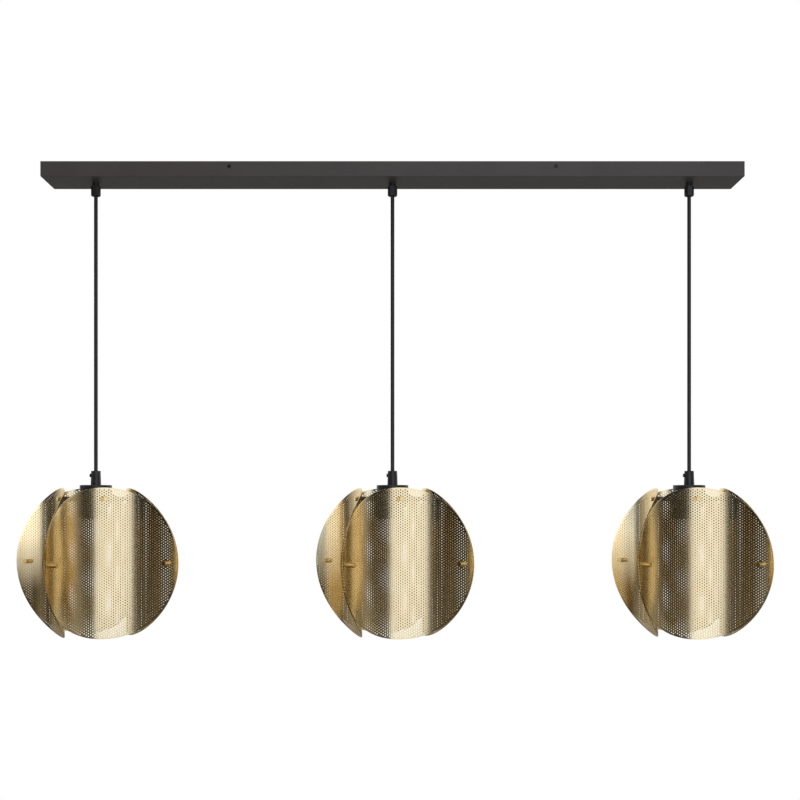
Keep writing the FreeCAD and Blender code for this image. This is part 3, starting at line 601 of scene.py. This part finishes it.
@dataclass(frozen=True)
class PerforatedDisc:
    """A round brass sheet with staggered holes, bent about an upright axis in front of it.

    The fields are the sheet's sizes. Its mesh is made facing -Y, with the globe's middle as origin.
    """

    radius: float = 125.0 * MM
    bend_radius: float = 132.0 * MM
    thickness: float = 0.8 * MM
    sheet_gap: float = 0.8 * MM
    pitch: float = 4.4 * MM
    hole_radius: float = 1.12 * MM
    hole_corners: int = 8
    rim_corners: int = 240
    rim_margin: float = 0.3 * MM
    stud_hole_radius: float = 2.1 * MM
    stud_hole_corners: int = 16
    arm_screw_height: float = 106.6 * MM
    weld: float = 0.01 * MM

    @property
    def axis_distance(self) -> float:
        """How far the bend's axis is from the middle of the globe."""
        between_axes = 2 * self.bend_radius + self.thickness + self.sheet_gap
        return between_axes * math.cos(math.radians(HALF_QUARTER))

    @property
    def cell_radius(self) -> float:
        """From the middle of a hole to the corners of the hexagon of sheet around it."""
        return self.pitch / math.sqrt(3)

    @property
    def stud_holes(self) -> list[Span]:
        """The middles of the stud holes on the flat sheet."""
        corner = math.radians(HALF_QUARTER) * self.bend_radius
        return [(-corner, 0.0), (corner, 0.0), (0.0, self.arm_screw_height)]

    @property
    def inputs(self) -> dict[str, float]:
        """The sizes that the geometry tree takes as inputs, by socket name."""
        return {
            "Radius": self.radius,
            "Bend Radius": self.bend_radius,
            "Axis Distance": self.axis_distance,
            "Thickness": self.thickness,
            "Pitch": self.pitch,
            "Hole Radius": self.hole_radius,
            "Rim Margin": self.rim_margin,
        }

    def tree(self, material: bpy.types.Material) -> bpy.types.NodeTree:
        """Builds the geometry tree: lattice of pierced cells, plain border, thickness, bend."""
        group = bpy.data.node_groups.new("perforated_disc", "GeometryNodeTree")
        for name in self.inputs:
            group.interface.new_socket(name, in_out="INPUT", socket_type="NodeSocketFloat")
        group.interface.new_socket("Geometry", in_out="OUTPUT", socket_type="NodeSocketGeometry")
        tree = Tree(group)
        given = tree.add("NodeGroupInput").outputs
        cells = self.cells(tree, given)
        flat = tree.joined([cells, self.border(tree, given, cells)])
        welded = tree.add("GeometryNodeMergeByDistance", flat, Distance=self.weld).outputs[0]
        bent = self.bend(tree, given, self.thicken(tree, given, welded))
        real = tree.add("GeometryNodeRealizeInstances", bent)
        dressed = tree.add("GeometryNodeSetMaterial", real.outputs[0], Material=material)
        tree.add("NodeGroupOutput", dressed.outputs[0])
        return group

    def lattice(self, tree: Tree, given: Sockets) -> Socket:
        """Staggered points, one for each hole, that keep clear of the rim and of the studs."""
        rows = 2 * math.ceil(self.radius / self.pitch) + 1
        columns = 2 * math.ceil(self.radius / (self.pitch * COLUMN_SHARE)) + 1
        column_step = tree.maths("MULTIPLY", given["Pitch"], COLUMN_SHARE)
        grid = tree.add("GeometryNodeMeshGrid", Vertices_X=columns, Vertices_Y=rows)
        tree.set_input(grid.inputs["Size X"], tree.maths("MULTIPLY", column_step, columns - 1.0))
        tree.set_input(grid.inputs["Size Y"], tree.maths("MULTIPLY", given["Pitch"], rows - 1.0))
        index = tree.add("GeometryNodeInputIndex").outputs[0]
        # Half a point more keeps each column's first point clear of rounding
        column = tree.maths("FLOOR", tree.maths("DIVIDE", tree.maths("ADD", index, 0.5), float(rows)))
        half_pitch = tree.maths("MULTIPLY", given["Pitch"], 0.5)
        stagger = tree.maths("MULTIPLY", tree.maths("MODULO", column, 2.0), half_pitch)
        offset = tree.add("ShaderNodeCombineXYZ", None, stagger).outputs[0]
        staggered = tree.add("GeometryNodeSetPosition", grid.outputs[0], Offset=offset).outputs[0]
        return tree.add("GeometryNodeDeleteGeometry", staggered, self.unwanted(tree, given)).outputs[0]

    def unwanted(self, tree: Tree, given: Sockets) -> Socket:
        """Whether a point is too near the rim or a stud hole to have a hole of its own."""
        place = tree.add("GeometryNodeInputPosition").outputs[0]
        reach = tree.add("ShaderNodeVectorMath", place, operation="LENGTH").outputs["Value"]
        margin = tree.maths("ADD", given["Rim Margin"], self.cell_radius)
        unwanted = tree.maths("GREATER_THAN", reach, tree.maths("SUBTRACT", given["Radius"], margin))
        clear = self.stud_hole_radius + self.cell_radius + self.rim_margin
        for across, up in self.stud_holes:
            gap = tree.add("ShaderNodeVectorMath", place, operation="DISTANCE")
            gap.inputs[1].default_value = (across, up, 0)
            too_near = tree.maths("LESS_THAN", gap.outputs["Value"], clear)
            unwanted = tree.maths("MAXIMUM", unwanted, too_near)
        return unwanted

    def circle(self, tree: Tree, corners: int, radius: Socket | float) -> Socket:
        """A closed curve round the origin, as a regular polygon."""
        return tree.add("GeometryNodeCurvePrimitiveCircle", Resolution=corners, Radius=radius).outputs[0]

    def cells(self, tree: Tree, given: Sockets) -> Socket:
        """Hexagons of sheet with a hole in each, welded edge to edge."""
        hole = self.circle(tree, self.hole_corners, given["Hole Radius"])
        edge = tree.maths("DIVIDE", given["Pitch"], math.sqrt(3))
        hexagon = self.circle(tree, HEXAGON_CORNERS, edge)
        cell = tree.add("GeometryNodeFillCurve", tree.joined([hole, hexagon])).outputs[0]
        copies = tree.add("GeometryNodeInstanceOnPoints", self.lattice(tree, given), Instance=cell)
        real = tree.add("GeometryNodeRealizeInstances", copies.outputs[0]).outputs[0]
        return tree.add("GeometryNodeMergeByDistance", real, Distance=self.weld).outputs[0]

    def border(self, tree: Tree, given: Sockets, cells: Socket) -> Socket:
        """Plain sheet between the cells' outline and the rim, and round each stud hole."""
        faces = tree.add("GeometryNodeInputMeshEdgeNeighbors").outputs[0]
        ends = tree.add("GeometryNodeInputMeshEdgeVertices").outputs
        between_ends = (ends["Position 1"], ends["Position 2"])
        length = tree.add("ShaderNodeVectorMath", *between_ends, operation="DISTANCE").outputs["Value"]
        hole_edge = 2 * self.hole_radius * math.sin(math.pi / self.hole_corners)
        long_edge = tree.maths("GREATER_THAN", length, (hole_edge + self.cell_radius) / 2)
        outline = tree.maths("MULTIPLY", long_edge, tree.maths("LESS_THAN", faces, OUTLINE_FACES))
        curves = [tree.add("GeometryNodeMeshToCurve", cells, outline).outputs[0]]
        curves.append(self.circle(tree, self.rim_corners, given["Radius"]))
        for across, up in self.stud_holes:
            ring = self.circle(tree, self.stud_hole_corners, self.stud_hole_radius)
            curves.append(tree.add("GeometryNodeTransform", ring, Translation=(across, up, 0)).outputs[0])
        return tree.add("GeometryNodeFillCurve", tree.joined(curves)).outputs[0]

    def thicken(self, tree: Tree, given: Sockets, flat: Socket) -> Socket:
        """Gives the flat sheet its thickness, half to each side, with walls in every hole."""
        half = tree.maths("MULTIPLY", given["Thickness"], -0.5)
        drop = tree.add("ShaderNodeCombineXYZ", None, None, half).outputs[0]
        low = tree.add("GeometryNodeSetPosition", flat, Offset=drop).outputs[0]
        raised = tree.add("GeometryNodeExtrudeMesh", low, Offset_Scale=given["Thickness"], Individual=False)
        back = tree.add("GeometryNodeFlipFaces", low)
        both = tree.joined([raised.outputs[0], back.outputs[0]])
        return tree.add("GeometryNodeMergeByDistance", both, Distance=self.weld).outputs[0]

    def bend(self, tree: Tree, given: Sockets, flat: Socket) -> Socket:
        """Rolls the sheet about the upright axis at -Y, keeping lengths along its middle."""
        place = tree.add("ShaderNodeSeparateXYZ", tree.add("GeometryNodeInputPosition").outputs[0])
        across, up, out = place.outputs
        angle = tree.maths("DIVIDE", across, given["Bend Radius"])
        reach = tree.maths("SUBTRACT", given["Bend Radius"], out)
        aside = tree.maths("MULTIPLY", reach, tree.maths("SINE", angle))
        towards = tree.maths("MULTIPLY", reach, tree.maths("COSINE", angle))
        depth = tree.maths("SUBTRACT", towards, given["Axis Distance"])
        rolled = tree.add("ShaderNodeCombineXYZ", aside, depth, up).outputs[0]
        return tree.add("GeometryNodeSetPosition", flat, Position=rolled).outputs[0]

    def mesh(self, material: bpy.types.Material) -> bpy.types.Mesh:
        """Runs the tree and gives the rolled faces the exact normals of their cylinder."""
        mesh = run_tree(self.tree(material), self.inputs)
        self.true_normals(mesh)
        return mesh

    def true_normals(self, mesh: bpy.types.Mesh) -> None:
        """Sets corner normals: the cylinder's own on both faces, each wall's own in holes and on the rim."""
        corner_vertex = read(mesh.loops, "vertex_index", np.int32)
        corner_count = read(mesh.polygons, "loop_total", np.int32)
        face_normal = np.repeat(read(mesh.polygons, "normal", np.float32, 3), corner_count, axis=0)
        from_globe = read(mesh.vertices, "co", np.float32, 3)[corner_vertex]
        radial = from_globe + np.array([0.0, self.axis_distance, 0.0], np.float32)
        radial[:, 2] = 0.0
        radial /= np.linalg.norm(radial, axis=1)[:, None]
        agreement = np.sum(radial * face_normal, axis=1)[:, None]
        on_sheet = np.abs(agreement) > SHEET_AGREEMENT
        normals = np.where(on_sheet, radial * np.sign(agreement), face_normal)
        mesh.shade_smooth()
        mesh.normals_split_custom_set(normals.tolist())


# ---------------------------------------------------------------------------------------- sub-assemblies


@dataclass(frozen=True)
class Canopy:
    """The canopy on the ceiling, with brackets, screws, glands' nuts and terminals."""

    finishes: Finishes

    def build(self) -> None:
        """Dresses the nodes, which all stay as the construction gives them."""
        dress("canopy_shell", self.finishes.canopy)
        dress("canopy_screws", self.finishes.black_screw)
        dress("terminal_block", self.finishes.terminal)
        for node in ("left_bracket", "right_bracket", "gland_nuts", "earth_terminal", "terminal_screws"):
            dress(node, self.finishes.zinc)
        LOG.info("canopy dressed")


@dataclass(frozen=True)
class PendantPlace:
    """Where one pendant hangs, and what the construction calls its nodes."""

    side: Side

    def node(self, name: str) -> str:
        """The full name of one of this pendant's nodes or bodies."""
        return f"{self.side.word}_{name}"

    def middle(self) -> Vector:
        """The middle of the shade: on the cord's axis, at the discs' middle height."""
        low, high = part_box(self.node("front_disc"))
        cord_low, cord_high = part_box(self.node("cord"))
        return Vector(((cord_low.x + cord_high.x) / 2, 0.0, (low.z + high.z) / 2))


@dataclass(frozen=True)
class Pendant(PendantPlace):
    """One pendant: gland, inner leads, cord, grip, lampholder and the shade of four discs.

    The shade turns are degrees: the centre's own, and how much more each neighbour to the left has.
    """

    finishes: Finishes
    shade_turn: float = 13.8
    shade_turn_step: float = 12.6
    cord_diameter: float = 6.5 * MM
    cord_points: int = 6
    cord_order: int = 3
    cord_bevel: int = 6
    weld: float = 0.01 * MM
    sharp_edge: float = 40.0

    def dress_nodes(self) -> None:
        """Dresses the nodes that stay as the construction gives them."""
        for name in ("gland", "cord_grip", "lampholder", "shade_ring"):
            dress(self.node(name), self.finishes.plastic)
        for name in ("holder_cap", "spider"):
            dress(self.node(name), self.finishes.black_metal)
        dress(self.node("grip_screw"), self.finishes.black_screw)
        dress(self.node("lamp_contacts"), self.finishes.contact_brass)
        for name in ("arm_screws", "corner_fasteners"):
            dress(self.node(name), self.finishes.fitting_brass)

    def colour_leads(self) -> None:
        """The cord's end in the gland and its three cores, coloured live, neutral and earth."""
        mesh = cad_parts[self.node("leads")].data.copy()
        mesh.materials.clear()
        insulation = (self.finishes.live, self.finishes.neutral, self.finishes.earth)
        for material in (self.finishes.sheath, *insulation):
            mesh.materials.append(material)
        shape = bmesh.new()
        shape.from_mesh(mesh)
        bmesh.ops.remove_doubles(shape, verts=shape.verts, dist=self.weld)
        for slot, strand in enumerate(self.strands(shape)):
            for face in strand:
                face.material_index = slot
                face.smooth = True
        shape.to_mesh(mesh)
        shape.free()
        mesh.set_sharp_from_angle(angle=math.radians(self.sharp_edge))
        piece = new_piece(self.node("coloured_leads"), mesh)
        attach(piece, "canopy")
        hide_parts(self.node("leads"))
        LOG.info("%s leads: %d materials", self.side.word, len(mesh.materials))

    def strands(self, shape: bmesh.types.BMesh) -> list[list[bmesh.types.BMFace]]:
        """The lead's solids in order: the sheathed end, which is lowest, and the cores from front to back."""
        found = sorted(islands(shape), key=lambda strand: min(face.calc_center_median().z for face in strand))
        sheathed, *cores = found
        cores.sort(key=lambda strand: sum(face.calc_center_median().y for face in strand) / len(strand))
        return [sheathed, *cores]

    def cord_curve(self, x: float, top: float, bottom: float) -> bpy.types.Curve:
        """A straight round cord as one smooth spline from top to bottom."""
        data = bpy.data.curves.new(self.node("hanging_cord"), "CURVE")
        data.dimensions = "3D"
        data.bevel_depth = self.cord_diameter / 2
        data.bevel_resolution = self.cord_bevel
        data.use_fill_caps = True
        spline = data.splines.new("NURBS")
        spline.points.add(self.cord_points - 1)
        for index, point in enumerate(spline.points):
            share = index / (self.cord_points - 1)
            point.co = (x, 0.0, top + (bottom - top) * share, 1.0)
        spline.order_u = self.cord_order
        spline.use_endpoint_u = True
        data.materials.append(self.finishes.sheath)
        return data

    def hang_cord(self) -> None:
        """The cord between the gland's mouth and the grip's mouth."""
        low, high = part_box(self.node("cord"))
        radius = self.cord_diameter / 2
        x = (low.x + high.x) / 2
        top, bottom = high.z - radius, low.z + radius
        cord = bpy.data.objects.new(self.node("hanging_cord"), self.cord_curve(x, top, bottom))
        bpy.context.scene.collection.objects.link(cord)
        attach(cord, self.node("cord"))
        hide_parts(self.node("cord"))
        LOG.info("%s cord: %.4f m", self.side.word, top - bottom)

    def hang_discs(self, blank: bpy.types.Mesh) -> None:
        """The four perforated discs, a quarter turn apart."""
        turn = self.shade_turn - self.side.value * self.shade_turn_step
        middle = Matrix.Translation(self.middle())
        for quarter in Quarter:
            mesh = blank.copy()
            angle = math.radians(turn + QUARTER_TURN * quarter.value)
            mesh.transform(middle @ Matrix.Rotation(angle, 4, "Z"))
            piece = new_piece(self.node(f"{quarter.word}_perforated_disc"), mesh)
            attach(piece, self.node("shade"))
            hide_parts(self.node(f"{quarter.word}_disc"))
        LOG.info("%s shade: %d faces a disc", self.side.word, len(blank.polygons))

    def build(self, blank: bpy.types.Mesh) -> None:
        """Dresses and hangs the whole pendant, with its discs made from the blank."""
        self.dress_nodes()
        self.colour_leads()
        self.hang_cord()
        self.hang_discs(blank)


# ------------------------------------------------------------------------------------------------ studio


@dataclass(frozen=True)
class Softbox:
    """One rectangular lamp, aimed at a point.

    A radiance of 1 is as bright as the white surroundings. The fade is the share of the lamp's height over
    which it darkens towards its lower edge.
    """

    name: str
    place: Point
    target: Point
    width: float
    height: float
    radiance: float
    colour: Colour = (1.0, 1.0, 1.0)
    fade: float = 0.0

    def switch_on(self) -> None:
        """Puts the lamp into the scene; it lights and is mirrored, but the camera doesn't see it."""
        data = bpy.data.lights.new(self.name, "AREA")
        data.shape = "RECTANGLE"
        data.size, data.size_y = self.width, self.height
        data.energy = self.radiance * math.pi * self.width * self.height
        data.color = self.colour
        if self.fade > 0.0:
            data.use_nodes = True
            tree = Tree(data.node_tree)
            spot = tree.add("ShaderNodeNewGeometry").outputs["Parametric"]
            level = tree.add("ShaderNodeSeparateXYZ", spot).outputs[1]
            glow = tree.add("ShaderNodeEmission", None, tree.ramp(level, (0.0, self.fade), (0.0, 1.0)))
            tree.add("ShaderNodeOutputLight", glow.outputs[0])
        lamp = bpy.data.objects.new(self.name, data)
        lamp.location = self.place
        towards = Vector(self.target) - Vector(self.place)
        lamp.rotation_euler = towards.to_track_quat("-Z", "Y").to_euler()
        lamp.visible_camera = False
        bpy.context.scene.collection.objects.link(lamp)


@dataclass(frozen=True)
class Studio:
    """Camera, lamps, pale floor and white surroundings of the photograph.

    The horizon is where the camera aims, in pixels of the photo; the lens and its sensor are in millimetres.
    The card is measured from the middle of a shade, with +Y away from the camera, and its radiances and
    colours are those of the left, centre and right one. The edges of the backdrop and the ceiling are shares
    of a ray's direction, and their levels how bright they are mirrored. The floor's sheen is pairs of a place
    along Y and the brightness mirrored there.
    """

    horizon: Span = (392.5, 505.0)
    photo_width: float = 800.0
    camera_place: Point = (0.0, -2.229, -0.568)
    lens: float = 59.5
    sensor_width: float = 36.0
    clip: Span = (0.05, 200.0)
    key: Softbox = Softbox(
        "key",
        place=(0.31, -1.725, -0.325),
        target=(-1.127, 0.0, -0.325),
        width=1.8,
        height=1.45,
        radiance=1.04,
        colour=(0.98, 1.09, 1.42),
    )
    card: Softbox = Softbox(
        "card",
        place=(-0.27, -0.005, 0.045),
        target=(-0.10, -0.005, 0.045),
        width=0.11,
        height=0.20,
        radiance=1.0,
        fade=0.5,
    )
    card_radiances: tuple[float, ...] = (1.5, 0.66, 0.95)
    card_colours: tuple[Colour, ...] = ((0.92, 1.0, 1.25), (0.80, 1.0, 1.45), (0.80, 1.0, 1.45))
    backdrop_skew: float = 0.30
    backdrop_edge: Span = (0.0, 0.60)
    backdrop_levels: Span = (0.012, 1.0)
    ceiling_edge: Span = (0.25, 0.60)
    ceiling_levels: Span = (0.0, 0.5)
    fill: float = 0.45
    floor_level: float = -2.9
    floor_size: float = 60.0
    floor_paint: Colour = (0.55, 0.55, 0.55)
    floor_sheen: tuple[Span, ...] = (
        (-24.0, 0.15),
        (-14.0, 0.03),
        (-10.0, 0.03),
        (-6.5, 0.25),
        (-2.0, 0.25),
        (0.0, 0.03),
        (1.5, 0.03),
        (4.5, 0.30),
        (7.0, 0.30),
        (10.0, 0.22),
    )

    def set_camera(self) -> None:
        """A level camera whose shift puts the horizon where the photograph has it."""
        data = bpy.data.cameras.new("camera")
        data.lens = self.lens
        data.sensor_width = self.sensor_width
        data.shift_x = (self.photo_width / 2 - self.horizon[0]) / self.photo_width
        data.shift_y = (self.horizon[1] - self.photo_width / 2) / self.photo_width
        data.clip_start, data.clip_end = self.clip
        camera = bpy.data.objects.new("camera", data)
        camera.location = self.camera_place
        camera.rotation_euler = (math.radians(QUARTER_TURN), 0.0, 0.0)
        bpy.context.scene.collection.objects.link(camera)
        bpy.context.scene.camera = camera

    def set_lamps(self) -> None:
        """The large softbox that the brass mirrors, and a small card to the left of each shade."""
        self.key.switch_on()
        for side, radiance, colour in zip(Side, self.card_radiances, self.card_colours):
            middle = PendantPlace(side).middle()
            view_turn = math.atan2(middle.x, -self.camera_place[1])
            turn = Matrix.Rotation(-view_turn, 3, "Z")
            card = replace(
                self.card,
                name=f"{side.word}_card",
                place=tuple(middle + turn @ Vector(self.card.place)),
                target=tuple(middle + turn @ Vector(self.card.target)),
                radiance=radiance,
                colour=colour,
            )
            card.switch_on()

    def set_world(self) -> None:
        """White where it is seen and behind the object, dimmer overhead, dark in front, grey for fill."""
        world = bpy.data.worlds.new("studio")
        bpy.context.scene.world = world
        world.use_nodes = True
        world.cycles.sampling_method = "NONE"
        tree = Tree(world.node_tree)
        seen, glossy, matt = tree.ray_kinds()
        direction = tree.add("ShaderNodeTexCoord").outputs["Generated"]
        across, depth, height = tree.add("ShaderNodeSeparateXYZ", direction).outputs
        behind = tree.maths("ADD", depth, tree.maths("MULTIPLY", across, self.backdrop_skew))
        backdrop = tree.ramp(behind, self.backdrop_edge, self.backdrop_levels)
        ceiling = tree.ramp(height, self.ceiling_edge, self.ceiling_levels)
        mirrored = tree.maths("MULTIPLY", glossy, tree.maths("MAXIMUM", backdrop, ceiling))
        fill = tree.maths("MULTIPLY", matt, self.fill)
        strength = tree.maths("ADD", tree.maths("ADD", seen, mirrored), fill)
        background = tree.add("ShaderNodeBackground", Color=WHITE, Strength=strength)
        tree.add("ShaderNodeOutputWorld", background.outputs[0])

    def lay_floor(self) -> None:
        """A plain floor far below: white where it is seen, its sheen where it is mirrored, or pale paint."""
        half = self.floor_size / 2
        mesh = bpy.data.meshes.new("floor")
        corners = [(-half, -half), (half, -half), (half, half), (-half, half)]
        mesh.from_pydata([(x, y, self.floor_level) for x, y in corners], [], [(0, 1, 2, 3)])
        floor = new_piece("floor", mesh)
        material = bpy.data.materials.new("pale_floor")
        material.use_nodes = True
        tree = Tree(material.node_tree)
        seen, glossy, _ = tree.ray_kinds()
        place = tree.add("ShaderNodeTexCoord").outputs["Object"]
        depth = tree.add("ShaderNodeSeparateXYZ", place).outputs[1]
        share = tree.ramp(depth, (-half, half), (0.0, 1.0))
        stops = [((reach + half) / self.floor_size, level) for reach, level in self.floor_sheen]
        mirrored = tree.maths("MULTIPLY", glossy, tree.steps(share, stops))
        white = tree.add("ShaderNodeEmission", Color=WHITE, Strength=tree.maths("ADD", seen, mirrored))
        paint = tree.add("ShaderNodeBsdfDiffuse", Color=(*self.floor_paint, 1.0))
        shining = tree.maths("MAXIMUM", seen, glossy)
        mixed = tree.add("ShaderNodeMixShader", shining, paint.outputs[0], white.outputs[0])
        tree.add("ShaderNodeOutputMaterial", mixed.outputs[0])
        mesh.materials.append(material)

    def build(self) -> None:
        """Sets up everything that isn't part of the object."""
        bpy.context.scene.view_settings.view_transform = "Standard"
        self.set_camera()
        self.set_lamps()
        self.set_world()
        self.lay_floor()
        LOG.info("studio set up")


def main() -> None:
    """Sets up the studio, then builds the pendant in the order in which it hangs together."""
    logging.basicConfig(level=logging.INFO, format="%(message)s")
    Studio().build()
    finishes = Finishes()
    Canopy(finishes).build()
    blank = PerforatedDisc().mesh(finishes.shade_brass)
    for side in Side:
        Pendant(side, finishes).build(blank)


if __name__ == "__main__":
    main()
